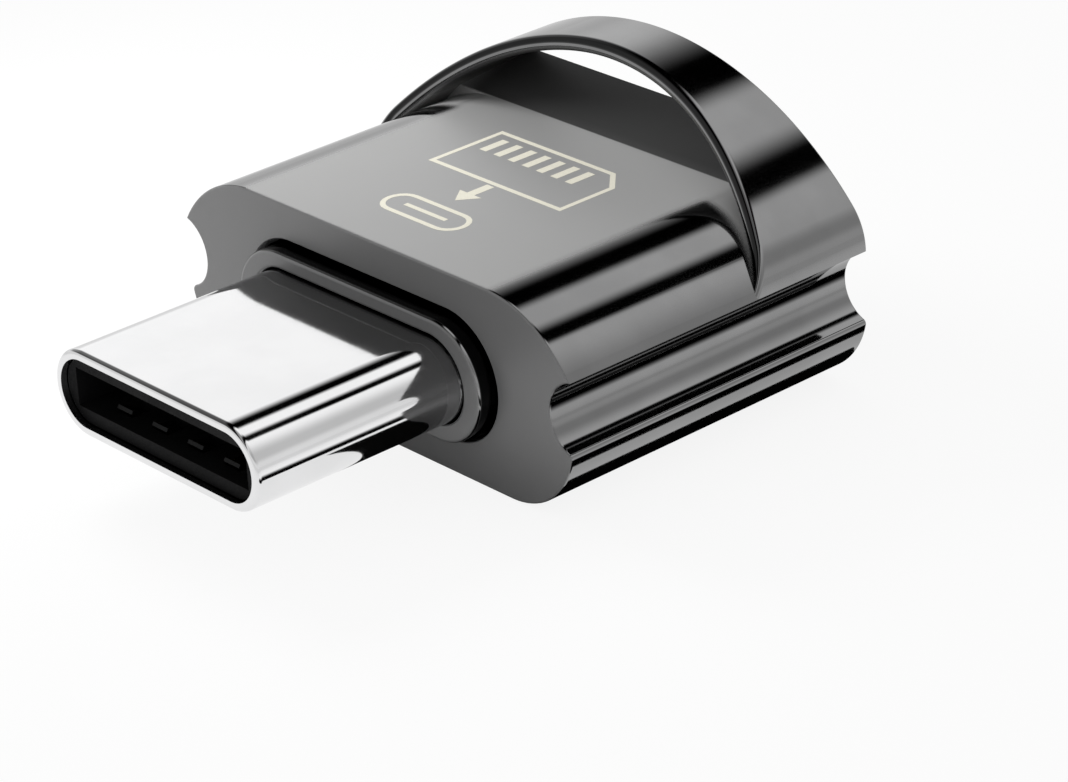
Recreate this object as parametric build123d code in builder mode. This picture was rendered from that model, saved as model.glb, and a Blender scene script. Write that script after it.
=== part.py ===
"""Small card reader: a grooved zinc casting with a strap hoop, an oval plug and a card slot.

Millimetres. +Z is up and the flat underside is at Z = 0. The plug points along -Y and the card goes in
from +Y. The origin is under the middle of the whole reader, plug included.
"""

import math
import os

from build123d import *

# Memory card and its socket
card_width = 11.0
card_side_gap = 0.25
card_space = 0.90
socket_sheet = 0.15
socket_base_thickness = 0.35
socket_floor_gap = 0.25
socket_base_fit = 0.02
socket_setback = 0.30
card_contact_count = 8
card_contact_share = 0.10
card_contact_width = 0.45
card_contact_thickness = 0.12
card_contact_tail = 0.80
card_contact_run = 1.40
card_contact_tip = 0.60
card_contact_press = 0.20
contact_window_gap = 0.08
socket_tongue_length = 3.0
socket_tongue_width = 1.2
socket_tongue_slit = 0.20
socket_tongue_spacing = 6.0
socket_bend_radius = 0.25

# Circuit board and what is soldered to it
board_thickness = 0.80
board_side_clearance = 0.30
board_end_gap = 0.05
chip_size = 3.6
chip_height = 0.85
chip_edge_bevel = 0.08
passive_length = 1.0
passive_width = 0.50
capacitor_height = 0.50
resistor_height = 0.35
passive_column_offset = 3.2
passive_pitch = 1.20
passive_count = 4

# Casting
body_length = 10.56
floor_wall = 0.75
deck_wall = 0.72
front_wall = 1.00
groove_wall = 0.64
groove_depth = 0.76
groove_radius = 1.04
groove_rise = 0.19
top_corner_radius = 3.5
bottom_corner_radius = 2.4
lower_lip_radius = 0.15
cavity_corner_radius = 0.9
edge_break = 0.07

# Strap hoop over the rear of the top face, and the sloping sill under it
hoop_rise = 2.67
hoop_width = 1.74
hoop_lean = 28.8
hoop_thickness = 0.44
hoop_shoulder_radius = 1.75
hoop_rim_bevel = 0.16
sill_height = 0.73
sill_run = 1.97

# Oval collar round the plug
collar_width = 9.55
collar_height = 3.39
collar_reach = 0.50
collar_fit = 0.05
collar_seat_bevel = 0.12
collar_edge_bevel = 0.10
collar_flange_overhang = 0.35
collar_flange_thickness = 0.60
collar_flange_gap = 0.10

# Plug
plug_width = 8.25
plug_height = 2.40
plug_reach = 6.50
plug_wall = 0.25
plug_tail = 0.60
plug_fit = 0.03
plug_lip_radius = 0.20
mouth_recess = 0.20
mouth_side_wall = 0.395
contact_pitch = 0.50
contact_width = 0.26
contact_thickness = 0.12
contact_fit = 0.02
contact_setback = 1.70
contact_press = 0.09
contact_bend = 0.50
contact_tail = 0.80
contact_row = 12
latch_thickness = 0.20
latch_base_length = 0.90
latch_arm_width = 0.22
latch_hook = 0.28
latch_hook_length = 0.50
spring_thickness = 0.10
spring_width = 5.6
spring_length = 2.6
spring_setback = 1.40
spring_finger_width = 0.60
spring_finger_pitch = 1.45
spring_finger_count = 4
spring_finger_length = 0.70
spring_finger_drop = 0.42
spring_fit = 0.03

# Rear insert
bezel_thickness = 1.00
bezel_fit = 0.04
bezel_slot_gap = 0.10
bezel_slot_bevel = 0.15

# Reach within which a point counts as lying on a stated line
hair = 1e-4

# Stations along the plug's axis
overall_length = plug_reach + collar_reach + body_length
tip_y = -overall_length / 2
collar_face_y = tip_y + plug_reach
front_y = collar_face_y + collar_reach
rear_y = front_y + body_length
wall_back_y = front_y + front_wall
flange_back_y = wall_back_y + collar_flange_thickness
shell_tail_y = flange_back_y + plug_tail
board_front_y = shell_tail_y + board_end_gap
bezel_front_y = rear_y - bezel_thickness
board_rear_y = bezel_front_y - board_end_gap
socket_front_y = board_front_y + socket_setback
window_front_y = board_front_y + contact_tail + socket_setback

# Heights, from the underside up through the socket and the board to the top face
cover_floor_z = floor_wall + socket_floor_gap
card_low_z = cover_floor_z + socket_sheet
card_high_z = card_low_z + card_space
board_low_z = card_high_z + socket_base_thickness
plug_z = board_low_z + board_thickness / 2
board_high_z = board_low_z + board_thickness
cavity_top_z = plug_z + collar_height / 2 + collar_flange_overhang + collar_flange_gap
deck_z = cavity_top_z + deck_wall
crown_z = deck_z + hoop_rise

# Half widths, from the card out through the socket to the lips of the side grooves
cover_inner_half = card_width / 2 + card_side_gap
cover_half = cover_inner_half + socket_sheet
cavity_half = cover_half + board_side_clearance
half_width = cavity_half + groove_wall + groove_depth

groove_z = plug_z + groove_rise
lip_rise = math.sqrt(groove_radius**2 - (groove_radius - groove_depth) ** 2)
upper_lip_z = groove_z + lip_rise
lower_lip_z = groove_z - lip_rise


def cross_plane(y):
    """Plane across the reader at Y = y, seen from the plug end: extrusions run towards the plug."""
    return Plane.XZ.offset(-y)


def corner_run(radius, drop):
    """Sideways run of an arc that starts level and falls by drop."""
    return math.sqrt(2 * radius * drop - drop**2)


# Section of the casting, without the hoop
top_flat_half = half_width - corner_run(top_corner_radius, deck_z - upper_lip_z)
bottom_flat_half = half_width - corner_run(bottom_corner_radius, lower_lip_z)

with BuildSketch(cross_plane(rear_y)) as body_section:
    with BuildLine():
        Line((0, 0), (bottom_flat_half, 0))
        TangentArc((bottom_flat_half, 0), (half_width, lower_lip_z), tangent=(1, 0))
        ThreePointArc(
            (half_width, lower_lip_z),
            (half_width - groove_depth, groove_z),
            (half_width, upper_lip_z),
        )
        TangentArc((top_flat_half, deck_z), (half_width, upper_lip_z), tangent=(1, 0))
        Line((top_flat_half, deck_z), (0, deck_z))
        mirror(about=Plane.YZ)
    make_face()
    outer_points = body_section.vertices().filter_by(lambda v: abs(v.X) > half_width - hair)
    fillet(outer_points.filter_by(lambda v: v.Y < groove_z), radius=lower_lip_radius)

# Section of the hoop: a broad crown arc that turns down into each upper lip
hoop_height = crown_z - upper_lip_z
shoulder_x = half_width - hoop_shoulder_radius
crown_radius = (shoulder_x**2 + hoop_height**2 - hoop_shoulder_radius**2) / (
    2 * (hoop_height - hoop_shoulder_radius)
)
crown_centre_z = crown_z - crown_radius
shoulder_turn = math.atan2(upper_lip_z - crown_centre_z, shoulder_x)
shoulder_point = (
    crown_radius * math.cos(shoulder_turn),
    crown_centre_z + crown_radius * math.sin(shoulder_turn),
)

with BuildSketch(cross_plane(rear_y)) as hoop_section:
    with BuildLine():
        Line((0, upper_lip_z), (half_width, upper_lip_z))
        TangentArc((half_width, upper_lip_z), shoulder_point, tangent=(0, 1))
        TangentArc((0, crown_z), shoulder_point, tangent=(1, 0))
        mirror(about=Plane.YZ)
    make_face()

with BuildSketch(cross_plane(rear_y)) as hoop_gap:
    add(hoop_section.sketch_local)
    offset(amount=-hoop_thickness, mode=Mode.REPLACE)

hoop_slope = math.tan(math.radians(hoop_lean))
hoop_crown_y = rear_y - hoop_width
hoop_foot_y = hoop_crown_y - hoop_slope * hoop_height
rim_normal = (0, -math.cos(math.radians(hoop_lean)), math.sin(math.radians(hoop_lean)))

with BuildPart() as housing:
    extrude(hoop_section.sketch, amount=rear_y - hoop_foot_y)
    extrude(hoop_gap.sketch, amount=rear_y - hoop_foot_y, mode=Mode.SUBTRACT)
    with BuildSketch(Plane.YZ) as sill_profile:
        with BuildLine():
            Polyline(
                (rear_y - sill_run, deck_z),
                (rear_y, deck_z + sill_height),
                (rear_y, upper_lip_z),
                (rear_y - sill_run, upper_lip_z),
                close=True,
            )
        make_face()
    extrude(amount=half_width, both=True)
    extrude(hoop_section.sketch, amount=rear_y - hoop_foot_y, mode=Mode.INTERSECT)
    with BuildSketch(Plane.YZ) as hoop_side:
        with BuildLine():
            Polyline(
                (hoop_foot_y, upper_lip_z),
                (hoop_crown_y, crown_z),
                (rear_y, crown_z),
                (rear_y, upper_lip_z),
                close=True,
            )
        make_face()
    extrude(amount=half_width, both=True, mode=Mode.INTERSECT)
    rim_face = housing.faces().filter_by(Plane((0, 0, 0), (1, 0, 0), rim_normal)).sort_by(SortBy.AREA)[-1]
    chamfer(rim_face.edges().filter_by(GeomType.ELLIPSE), length=hoop_rim_bevel)
    extrude(body_section.sketch, amount=body_length)
    with BuildSketch(cross_plane(rear_y)) as cavity:
        with Locations((0, (floor_wall + cavity_top_z) / 2)):
            RectangleRounded(2 * cavity_half, cavity_top_z - floor_wall, cavity_corner_radius)
    extrude(amount=rear_y - wall_back_y, mode=Mode.SUBTRACT)
    with BuildSketch(cross_plane(wall_back_y)) as collar_hole:
        with Locations((0, plug_z)):
            SlotOverall(collar_width + 2 * collar_fit, collar_height + 2 * collar_fit)
    extrude(amount=front_wall, mode=Mode.SUBTRACT)
    front_face = housing.faces().filter_by(Axis.Y).sort_by(Axis.Y)[0]
    chamfer(front_face.inner_wires().edges(), length=collar_seat_bevel)
    for end in (0, -1):
        end_face = housing.faces().filter_by(Axis.Y).sort_by(Axis.Y)[end]
        chamfer(end_face.outer_wire().edges(), length=edge_break)
housing.part.label = "housing"

with BuildPart() as front_collar:
    with BuildSketch(cross_plane(wall_back_y)) as collar_outline:
        with Locations((0, plug_z)):
            SlotOverall(collar_width, collar_height)
    extrude(amount=wall_back_y - collar_face_y)
    chamfer(front_collar.faces().sort_by(Axis.Y)[0].edges(), length=collar_edge_bevel)
    with BuildSketch(cross_plane(flange_back_y)) as flange_outline:
        with Locations((0, plug_z)):
            SlotOverall(
                collar_width + 2 * collar_flange_overhang,
                collar_height + 2 * collar_flange_overhang,
            )
    extrude(amount=collar_flange_thickness)
    with BuildSketch(cross_plane(flange_back_y)) as plug_hole:
        with Locations((0, plug_z)):
            SlotOverall(plug_width + 2 * plug_fit, plug_height + 2 * plug_fit)
    extrude(amount=flange_back_y - collar_face_y, mode=Mode.SUBTRACT)
front_collar.part.label = "front_collar"

with BuildPart() as plug_shell:
    with BuildSketch(cross_plane(shell_tail_y)) as shell_outline:
        with Locations((0, plug_z)):
            SlotOverall(plug_width, plug_height)
            SlotOverall(plug_width - 2 * plug_wall, plug_height - 2 * plug_wall, mode=Mode.SUBTRACT)
    extrude(amount=shell_tail_y - tip_y)
    lip_face = plug_shell.faces().sort_by(Axis.Y)[0]
    fillet(lip_face.outer_wire().edges(), radius=plug_lip_radius)
plug_shell.part.label = "plug_shell"

# Mouldings inside the shell share one outline
insulator_width = plug_width - 2 * (plug_wall + plug_fit)
insulator_height = plug_height - 2 * (plug_wall + plug_fit)
insulator_top = insulator_height / 2
insulator_front_y = tip_y + mouth_recess
mouth_width = insulator_width - 2 * mouth_side_wall
row_low = board_thickness / 2
row_high = row_low + contact_thickness
mouth_half = row_high + contact_fit
spring_seat = insulator_top - spring_thickness - spring_fit
spring_front_y = tip_y + spring_setback
spring_rear_y = spring_front_y + spring_length
finger_tip_y = spring_front_y - spring_finger_length

with BuildPart() as plug_insulator:
    with BuildSketch(cross_plane(collar_face_y)) as insulator_outline:
        with Locations((0, plug_z)):
            SlotOverall(insulator_width, insulator_height)
            Rectangle(mouth_width, 2 * mouth_half, mode=Mode.SUBTRACT)
    extrude(amount=collar_face_y - insulator_front_y)
    for side in (1, -1):
        with BuildSketch(Plane.XY.offset(plug_z + side * insulator_top)):
            with Locations((0, (spring_front_y + spring_rear_y) / 2)):
                Rectangle(spring_width + 2 * spring_fit, spring_length + 2 * spring_fit)
        extrude(amount=-side * (insulator_top - spring_seat), mode=Mode.SUBTRACT)
        with BuildSketch(Plane.XY.offset(plug_z + side * insulator_top)):
            with Locations((0, (finger_tip_y + spring_front_y) / 2)):
                with GridLocations(spring_finger_pitch, 0, spring_finger_count, 1):
                    Rectangle(
                        spring_finger_width + 2 * spring_fit,
                        spring_finger_length + 2 * spring_fit,
                    )
        extrude(amount=-side * (insulator_top - mouth_half), mode=Mode.SUBTRACT)
plug_insulator.part.label = "plug_insulator"


def contact_places(side):
    """Sideways places of one row of contacts: the lower row leaves out its two middle ones."""
    places = [(i - (contact_row - 1) / 2) * contact_pitch for i in range(contact_row)]
    if side < 0:
        places = [x for x in places if abs(x) > contact_pitch]
    return places


def contact_profile(side):
    """Sketch of one contact seen from +X: a tail on the board, a straight beam and a bent tip."""
    beam_z = plug_z + side * (row_low + contact_thickness / 2)
    press_z = beam_z - side * contact_press
    tip_station = tip_y + contact_setback
    with BuildSketch(Plane.YZ) as profile:
        with BuildLine():
            Polyline(
                (board_front_y + contact_tail, beam_z),
                (tip_station + 2 * contact_bend, beam_z),
                (tip_station + contact_bend, press_z),
                (tip_station, beam_z),
            )
        trace(line_width=contact_thickness)
    return profile.sketch


contact_rows = {}
for row_name, side in (("upper_contacts", 1), ("lower_contacts", -1)):
    with BuildPart() as contact_rows[row_name]:
        for x in contact_places(side):
            extrude(Pos(x, 0, 0) * contact_profile(side), amount=contact_width / 2, both=True)
    contact_rows[row_name].part.label = row_name

with BuildPart() as contact_carrier:
    with BuildSketch(cross_plane(shell_tail_y)) as carrier_outline:
        with Locations((0, plug_z)):
            SlotOverall(insulator_width, insulator_height)
        for side in (1, -1):
            row_middle = plug_z + side * (row_low + row_high) / 2
            with Locations([(x, row_middle) for x in contact_places(side)]):
                Rectangle(
                    contact_width + 2 * contact_fit,
                    contact_thickness + 2 * contact_fit,
                    mode=Mode.SUBTRACT,
                )
    extrude(amount=shell_tail_y - collar_face_y)
contact_carrier.part.label = "contact_carrier"

with BuildPart() as latch_plate:
    latch_half = mouth_width / 2 - contact_fit
    hook_front_y = tip_y + contact_setback
    with BuildSketch(Plane.XY.offset(plug_z)) as latch_outline:
        with BuildLine():
            Polyline(
                (0, collar_face_y),
                (latch_half, collar_face_y),
                (latch_half, hook_front_y),
                (latch_half - latch_arm_width, hook_front_y),
                (latch_half - latch_arm_width - latch_hook, hook_front_y + latch_hook_length),
                (latch_half - latch_arm_width, hook_front_y + 2 * latch_hook_length),
                (latch_half - latch_arm_width, collar_face_y - latch_base_length),
                (0, collar_face_y - latch_base_length),
            )
            mirror(about=Plane.YZ)
        make_face()
    extrude(amount=latch_thickness / 2, both=True)
latch_plate.part.label = "latch_plate"

ground_springs = {}
for spring_name, side in (("upper_ground_spring", 1), ("lower_ground_spring", -1)):
    seat_z = plug_z + side * spring_seat
    with BuildPart() as ground_springs[spring_name]:
        with BuildSketch(Plane.XY.offset(seat_z)):
            with Locations((0, (spring_front_y + spring_rear_y) / 2)):
                Rectangle(spring_width, spring_length)
        extrude(amount=side * spring_thickness)
        with BuildSketch(Plane.YZ) as finger_profile:
            with BuildLine():
                middle_z = seat_z + side * spring_thickness / 2
                Line((spring_front_y, middle_z), (finger_tip_y, middle_z - side * spring_finger_drop))
            trace(line_width=spring_thickness)
        for i in range(spring_finger_count):
            x = (i - (spring_finger_count - 1) / 2) * spring_finger_pitch
            extrude(Pos(x, 0, 0) * finger_profile.sketch, amount=spring_finger_width / 2, both=True)
    ground_springs[spring_name].part.label = spring_name

with BuildPart() as circuit_board:
    with BuildSketch(Plane.XY.offset(board_low_z)):
        with Locations((0, (board_front_y + board_rear_y) / 2)):
            Rectangle(2 * cover_half, board_rear_y - board_front_y)
    extrude(amount=board_thickness)
circuit_board.part.label = "circuit_board"

chip_y = (board_front_y + contact_tail + board_rear_y) / 2

with BuildPart() as controller_chip:
    with BuildSketch(Plane.XY.offset(board_high_z)):
        with Locations((0, chip_y)):
            Rectangle(chip_size, chip_size)
    extrude(amount=chip_height)
    chamfer(controller_chip.faces().sort_by(Axis.Z)[-1].edges(), length=chip_edge_bevel)
controller_chip.part.label = "controller_chip"

passives = {}
for passive_name, side, height in (
    ("capacitors", 1, capacitor_height),
    ("resistors", -1, resistor_height),
):
    with BuildPart() as passives[passive_name]:
        with BuildSketch(Plane.XY.offset(board_high_z)):
            with Locations((side * passive_column_offset, chip_y)):
                with GridLocations(0, passive_pitch, 1, passive_count):
                    Rectangle(passive_length, passive_width)
        extrude(amount=height)
    passives[passive_name].part.label = passive_name

# Card socket under the board
contact_span = card_contact_tail + card_contact_run + card_contact_tip
card_contact_pitch = card_width * card_contact_share
base_half = cover_inner_half - socket_base_fit
card_contact_places = [
    (i - (card_contact_count - 1) / 2) * card_contact_pitch for i in range(card_contact_count)
]
detect_place = card_contact_places[-1] + card_contact_pitch

with BuildPart() as card_socket_base:
    with BuildSketch(Plane.XY.offset(card_high_z)):
        with Locations((0, (socket_front_y + board_rear_y) / 2)):
            Rectangle(2 * base_half, board_rear_y - socket_front_y)
        window_y = window_front_y + contact_span / 2
        with Locations([(x, window_y) for x in card_contact_places + [detect_place]]):
            Rectangle(
                card_contact_width + 2 * contact_window_gap,
                contact_span + 2 * contact_window_gap,
                mode=Mode.SUBTRACT,
            )
    extrude(amount=socket_base_thickness)
    with BuildSketch(Plane.XY.offset(board_low_z)):
        with Locations((0, socket_front_y + contact_tail / 2)):
            Rectangle(contact_row * contact_pitch, contact_tail)
    extrude(amount=-(contact_thickness + contact_fit), mode=Mode.SUBTRACT)
card_socket_base.part.label = "card_socket_base"


def card_contact_profile():
    """Sketch of one card contact seen from +X: a tail under the board and a sprung arm."""
    tail_z = board_low_z - card_contact_thickness / 2
    bend_y = window_front_y + card_contact_tail
    with BuildSketch(Plane.YZ) as profile:
        with BuildLine():
            Polyline(
                (window_front_y, tail_z),
                (bend_y, tail_z),
                (bend_y + card_contact_run, card_high_z - card_contact_press),
                (bend_y + card_contact_run + card_contact_tip, card_high_z),
            )
        trace(line_width=card_contact_thickness)
    return profile.sketch


card_contact_groups = {}
for group_name, places in (
    ("card_contacts", card_contact_places),
    ("card_detect_contact", [detect_place]),
):
    with BuildPart() as card_contact_groups[group_name]:
        for x in places:
            extrude(Pos(x, 0, 0) * card_contact_profile(), amount=card_contact_width / 2, both=True)
    card_contact_groups[group_name].part.label = group_name

with BuildPart() as card_socket_cover:
    with BuildSketch(cross_plane(board_rear_y)) as cover_section:
        with BuildLine():
            Polyline(
                (-cover_half, board_low_z),
                (-cover_half, cover_floor_z),
                (cover_half, cover_floor_z),
                (cover_half, board_low_z),
                (cover_inner_half, board_low_z),
                (cover_inner_half, card_low_z),
                (-cover_inner_half, card_low_z),
                (-cover_inner_half, board_low_z),
                close=True,
            )
        make_face()
        bends = cover_section.vertices().filter_by(lambda v: v.Y < cover_floor_z + hair)
        fillet(bends, radius=socket_bend_radius)
    extrude(amount=board_rear_y - socket_front_y)
    with BuildSketch(Plane.XY.offset(card_low_z)) as card_stop:
        with Locations((0, socket_front_y + socket_sheet / 2)):
            Rectangle(2 * cover_inner_half, socket_sheet)
    extrude(amount=card_space)
    with BuildSketch(Plane.XY.offset(cover_floor_z)):
        with Locations((0, (socket_front_y + board_rear_y) / 2)):
            with GridLocations(socket_tongue_spacing, 0, 2, 1):
                Rectangle(socket_tongue_width + 2 * socket_tongue_slit, socket_tongue_length)
                with Locations((0, -socket_tongue_slit / 2)):
                    Rectangle(
                        socket_tongue_width,
                        socket_tongue_length - socket_tongue_slit,
                        mode=Mode.SUBTRACT,
                    )
    extrude(amount=socket_sheet, mode=Mode.SUBTRACT)
card_socket_cover.part.label = "card_socket_cover"

with BuildPart() as rear_bezel:
    with BuildSketch(cross_plane(rear_y)) as bezel_outline:
        with Locations((0, (floor_wall + cavity_top_z) / 2)):
            RectangleRounded(
                2 * (cavity_half - bezel_fit),
                cavity_top_z - floor_wall - 2 * bezel_fit,
                cavity_corner_radius - bezel_fit,
            )
        with Locations((0, (card_low_z + card_high_z) / 2)):
            Rectangle(card_width + 2 * bezel_slot_gap, card_space, mode=Mode.SUBTRACT)
    extrude(amount=bezel_thickness)
    rear_face = rear_bezel.faces().sort_by(Axis.Y)[-1]
    chamfer(rear_face.inner_wires().edges(), length=bezel_slot_bevel)
rear_bezel.part.label = "rear_bezel"

os.makedirs("parts", exist_ok=True)
single_pieces = (
    housing,
    front_collar,
    plug_shell,
    plug_insulator,
    contact_carrier,
    latch_plate,
    circuit_board,
    controller_chip,
    card_socket_base,
    card_socket_cover,
    rear_bezel,
)
grouped_pieces = (contact_rows, ground_springs, passives, card_contact_groups)
pieces = list(single_pieces) + [piece for group in grouped_pieces for piece in group.values()]
for piece in pieces:
    export_step(piece.part, f"parts/{piece.part.label}.step")
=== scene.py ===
import math

import bmesh
import bpy
from bpy.props import FloatProperty, FloatVectorProperty, IntProperty, PointerProperty
from mathutils import Matrix, Vector


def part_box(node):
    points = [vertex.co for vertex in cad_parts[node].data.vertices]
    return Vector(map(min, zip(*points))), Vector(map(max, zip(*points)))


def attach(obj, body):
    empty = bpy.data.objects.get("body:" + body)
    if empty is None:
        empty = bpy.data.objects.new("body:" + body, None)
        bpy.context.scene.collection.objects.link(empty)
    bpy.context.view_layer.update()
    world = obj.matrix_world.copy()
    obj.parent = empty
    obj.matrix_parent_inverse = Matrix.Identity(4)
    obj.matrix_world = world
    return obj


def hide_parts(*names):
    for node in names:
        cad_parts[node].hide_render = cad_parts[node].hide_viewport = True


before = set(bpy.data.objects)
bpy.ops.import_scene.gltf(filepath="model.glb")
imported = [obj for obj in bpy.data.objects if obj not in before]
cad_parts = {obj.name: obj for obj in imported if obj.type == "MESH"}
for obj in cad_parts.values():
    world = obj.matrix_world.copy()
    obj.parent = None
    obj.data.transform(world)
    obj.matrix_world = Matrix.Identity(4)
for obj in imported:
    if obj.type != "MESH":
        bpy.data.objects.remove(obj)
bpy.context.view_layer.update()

bl_info = {
    "name": "Card Reader Looks",
    "version": (1, 0, 0),
    "blender": (4, 5, 0),
    "location": "3D View > Sidebar > Card Reader",
    "description": "Dresses the packed card reader: casting, collar, plug, marks, finishes and stage",
    "category": "Object",
}

BODY = "root"
MM = 0.001

# The casting's form, in millimetres, as the solids have it
HOUSING_LOW, HOUSING_HIGH = (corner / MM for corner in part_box("housing"))
HALF_WIDTH = HOUSING_HIGH.x
FRONT_Y = HOUSING_LOW.y
REAR_Y = HOUSING_HIGH.y
CROWN_Z = HOUSING_HIGH.z
PLUG_Z = 2.8
DECK_Z = 5.665
GROOVE_Z = 2.99
GROOVE_DEPTH = 0.76
GROOVE_RADIUS = 1.04
TOP_CORNER_RADIUS = 3.5
BOTTOM_CORNER_RADIUS = 2.4
LOWER_LIP_RADIUS = 0.15
LIP_RISE = math.sqrt(GROOVE_RADIUS**2 - (GROOVE_RADIUS - GROOVE_DEPTH) ** 2)
UPPER_LIP_Z = GROOVE_Z + LIP_RISE
LOWER_LIP_Z = GROOVE_Z - LIP_RISE
GROOVE_X = HALF_WIDTH - GROOVE_DEPTH + GROOVE_RADIUS
TOP_DROP = DECK_Z - UPPER_LIP_Z
DECK_FLAT_HALF = HALF_WIDTH - math.sqrt(2 * TOP_CORNER_RADIUS * TOP_DROP - TOP_DROP**2)
CROWN_RISE = CROWN_Z - UPPER_LIP_Z
HOOP_WIDTH = 1.74
HOOP_LEAN = math.radians(28.8)
HOOP_THICKNESS = 0.44
SHOULDER_RADIUS = 1.75
SHOULDER_X = HALF_WIDTH - SHOULDER_RADIUS
CROWN_RADIUS = (SHOULDER_X**2 + CROWN_RISE**2 - SHOULDER_RADIUS**2) / (2 * (CROWN_RISE - SHOULDER_RADIUS))
CROWN_CENTRE_Z = CROWN_Z - CROWN_RADIUS
SILL_HEIGHT = 0.73
SILL_RUN = 1.97
SILL_LEG = [(6.0, 5.3), (6.35, 4.4), (6.9, 4.4), (6.6, 5.3)]
FLOOR_WALL = 0.75
FRONT_WALL = 1.0
CAVITY_HALF = 6.2
CAVITY_TOP_Z = 4.945
CAVITY_MIDDLE_Z = (FLOOR_WALL + CAVITY_TOP_Z) / 2
CAVITY_CORNER_RADIUS = 0.9
COLLAR_HOLE = (9.65, 3.49)
COLLAR_SEAT_BEVEL = 0.12

# The collar, the plug and the rear insert
COLLAR = (9.55, 3.39)
COLLAR_FLANGE = (10.25, 4.09)
COLLAR_BORE = (8.31, 2.46)
COLLAR_FACE_Y = FRONT_Y - 0.5
WALL_BACK_Y = FRONT_Y + FRONT_WALL
FLANGE_BACK_Y = WALL_BACK_Y + 0.6
PLUG = (8.25, 2.40)
PLUG_WALL = 0.25
TIP_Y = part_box("plug_shell")[0].y / MM
TAIL_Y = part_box("plug_shell")[1].y / MM
BEZEL_FRONT_Y = REAR_Y - 1.0
BEZEL_FIT = 0.04
SLOT = (11.2, 0.9)
SLOT_Z = 1.6
SLOT_CORNER = 0.04

# How far cutters run past what they cut, how far the end cutter stands off the walls, and how many points
# are left out beside the keen lip
OVERRUN = 1.0
STAND_OFF = 0.001
LIP_CLEAR = 4

# Corners closer than this are one
WELD = 0.0005

# Edges that turn more than this stay sharp
SHARP_ANGLE = math.radians(25)

# How much of a normal lies along Y: more than the first on an end across Y, less than the second on a
# wall along Y. Shading that leans less than the third on a wall is turned square again
END_FLATNESS = 0.9999
WALL_FLATNESS = 0.001
WALL_TILT = 0.12

# How the blasted and the satin finishes and the painted shade under the hoop differ from polished plating
BLAST_SHADE = 0.76
BLAST_METAL_LOSS = 0.75
BLAST_ROUGHNESS = 0.38
SATIN_METAL_LOSS = 0.7
SATIN_ROUGHNESS = 0.36
RECESS_SHADE_METAL_LOSS = 0.9
RECESS_SHADE_ROUGHNESS = 0.5

# Where one finish of the casting and the collar, or the painted shade under the hoop and on the collar's
# side, fades into the next, in millimetres from a face or an edge
BLAST_EDGE = (0.01, 0.04)
COLLAR_EDGE = (0.08, 0.12)
DECK_SKIN = (-0.03, -0.001)
OVER_DECK = (0.005, 0.02)
BESIDE_DECK = (0.0, 0.5)
ARCH_SKIN = (0.06, 0.16)
BEHIND_RIM = (-0.1, 0.3)
ABOVE_LIP = (0.3, 0.5)
HOOP_FEET = (5.2, 6.4)

# Finishes of the small pieces inside, with the painted shade that darkens the plug's insulator and ground
# springs in its mouth
MOUTH_SPRING_SHADE = 0.06
MOUTH_SHADE = 0.25
COPPER = (0.16, 0.24, 0.10)
CHIP_RESIN = (0.03, 0.03, 0.033)
CAPACITOR_CERAMIC = (0.42, 0.30, 0.19)
RESISTOR_GLAZE = (0.05, 0.05, 0.06)

# The marks on the deck, as (x, y) points and sizes
MARK_SINK = 0.01
CARD_SIGN = [(-2.5, 2.75), (2.5, 2.75), (2.5, 4.6), (1.85, 5.25), (-2.5, 5.25)]
ARROW_SIGN = [(0.0, 1.35), (0.42, 1.9), (0.14, 1.9), (0.14, 2.6), (-0.14, 2.6), (-0.14, 1.9), (-0.42, 1.9)]
OVAL_SIGN = (2.9, 1.0)
OVAL_STEPS = 10
OVAL_Y = 0.35
TONGUE_HALF = 0.8
BAR_WIDTH = 0.26
BAR_LENGTH = 0.85
BAR_PITCH = 0.56
BAR_Y = 4.5
BARS_TO_LEFT = 0.3

# The tent that metal mirrors, as start, end, level before and level after: its cloths by degrees from +X over
# the top, how they dim towards the front, and the wall by height
RIGHT_CLOTH = (30.0, 64.0, 0.58, 1.05)
RIGHT_CLOTH_END = (65.0, 70.0, 1.0, 0.0)
TOP_CLOTH = (77.0, 88.0, 0.0, 1.05)
TOP_CLOTH_END = (103.0, 113.0, 1.0, 0.0)
LEFT_CLOTH = (125.0, 152.0, 0.0, 1.1)
LEFT_TO_FRONT = (0.05, 0.42, 0.25, 1.0)
RIGHT_AT_FRONT = (-0.5, -0.1, 0.75, 1.0)
TOP_AT_FRONT = (-0.5, -0.1, 0.3, 1.0)
WALL_BY_HEIGHT = (0.1, 0.3, 1.0, 0.0)
WALL_LIGHT = 0.8

# Light on matt surfaces, its share when metal mirrors them, and the dimming of second reflections
MATT_LIGHT = 0.7
MIRRORED_MATT = (0.2, 0.8, 1.0, 0.4)
SECOND_DEPTH = (1.2, 1.8)
SECOND_DIMMING = 0.9

# The floor, the pads on it and the lamp, in millimetres. The black pad under the reader is painted contact
# shadow
FLOOR_REACH = 1500.0
FLOOR_Z = -0.02
FLOOR_FADE = (10.0, 32.0)
FLOOR_FAR_LIGHT = 0.8
FLOOR_GREY = 0.9
FLOOR_WHITE_SHARE = 0.88
PAD_Z = -0.01
CONTACT_SHADOW_GREY = 0.01
CONTACT_SHADOW_PAD = ((-7.28, FRONT_Y - 2.2), (7.28, 9.6))
SIDE_FLAG = ((8.15, -12.0), (28.0, 30.0))
FLAG_RISE = (9.6, 12.2)
FLAG_FAR = (12.2, 30.0)
FLAG_FAR_LIGHT = 0.8
FLAG_NEAR = (10.3, 10.9)
LAMP_PLACE = (-22.0, -2.5, 21.0)
LAMP_SIZE = 14.0

# The camera's sensor in millimetres and its clipping range in metres
SENSOR_WIDTH = 36.0
CLIP_RANGE = (0.005, 10.0)


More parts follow.
